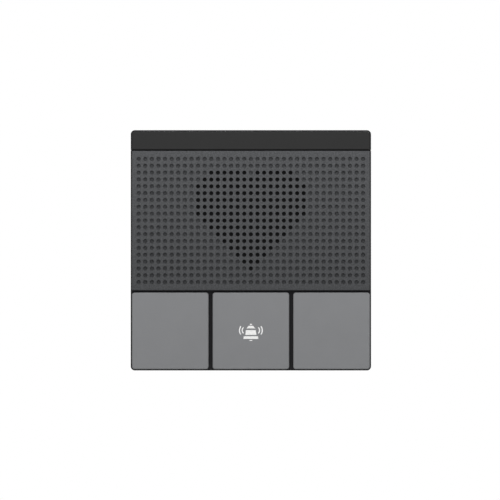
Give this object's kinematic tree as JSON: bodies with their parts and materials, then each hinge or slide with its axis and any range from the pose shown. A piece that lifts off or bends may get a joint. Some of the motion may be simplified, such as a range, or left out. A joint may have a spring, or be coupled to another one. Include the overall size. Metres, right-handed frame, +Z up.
{
  "type": "audio intercom panel",
  "caption": "Square wall-mounted audio intercom panel with a perforated speaker grille, a plain top strip and a row of square call keys.",
  "frame": {"origin": "centre of the back face of the wall bracket, on the wall", "axes": "+Z up, -Y out of the wall towards the user, +X to the right seen from the front"},
  "size_m": [0.088, 0.028, 0.088],
  "materials": {
    "case_black": "fine matt moulding grain",
    "strip_grey": "matt paint",
    "grille_grey": "matt paint",
    "key_grey": "matt paint",
    "cloth_black": "fine woven cloth",
    "foam_black": "open-cell foam",
    "seal_rubber": "soft matt rubber",
    "silicone_grey": "translucent matt silicone",
    "pressed_steel": "zinc-plated sheet",
    "magnet_grey": "ferrite and plated yoke",
    "cone_paper": "pressed paper",
    "coil_copper": "lacquered copper wire",
    "board_green": "solder mask",
    "chip_black": "moulded epoxy",
    "capacitor_can": "bare can",
    "relay_case": "moulded cover",
    "jack_black": "glass-filled moulding",
    "contact_gold": "gold flash",
    "terminal_green": "moulded nylon",
    "header_white": "moulded nylon",
    "lead_black": "soft vinyl",
    "screw_steel": "zinc plated"
  },
  "bodies": {
    "panel": {"front_housing": "case_black", "rear_case": "case_black", "case_seal": "seal_rubber", "case_screws": "screw_steel", "top_strip": "strip_grey", "speaker_grille": "grille_grey", "dust_cloth": "cloth_black", "grille_foam": "foam_black", "keypad_mat": "silicone_grey", "speaker_gasket": "foam_black", "speaker_basket": "pressed_steel", "speaker_magnet": "magnet_grey", "speaker_cone": "cone_paper", "voice_coil": "coil_copper", "speaker_dust_cap": "cone_paper", "speaker_tag": "pressed_steel", "speaker_lead": "lead_black", "speaker_header": "header_white", "microphone_capsule": "capacitor_can", "microphone_boot": "seal_rubber", "main_board": "board_green", "board_screws": "screw_steel", "processor_chip": "chip_black", "memory_chip": "chip_black", "network_transformer": "chip_black", "supply_capacitors": "capacitor_can", "door_relay": "relay_case", "network_jack_shell": "pressed_steel", "network_jack_body": "jack_black", "network_contacts": "contact_gold", "terminal_block": "terminal_green", "terminal_screws": "screw_steel", "wall_bracket": "pressed_steel", "lock_screw": "screw_steel"},
    "left_key_body": {"left_key": "key_grey"},
    "centre_key_body": {"centre_key": "key_grey"},
    "right_key_body": {"right_key": "key_grey"}
  },
  "joints": [
    {"name": "left_key_press", "type": "slide", "parent": "panel", "child": "left_key_body", "axis": [0, 1, 0], "range_m": [0, 0.001], "stiffness_N_per_m": 700, "springref_m": -0.001, "deforming": ["keypad_mat"]},
    {"name": "centre_key_press", "type": "slide", "parent": "panel", "child": "centre_key_body", "axis": [0, 1, 0], "range_m": [0, 0.001], "stiffness_N_per_m": 700, "springref_m": -0.001, "deforming": ["keypad_mat"]},
    {"name": "right_key_press", "type": "slide", "parent": "panel", "child": "right_key_body", "axis": [0, 1, 0], "range_m": [0, 0.001], "stiffness_N_per_m": 700, "springref_m": -0.001, "deforming": ["keypad_mat"]}
  ]
}
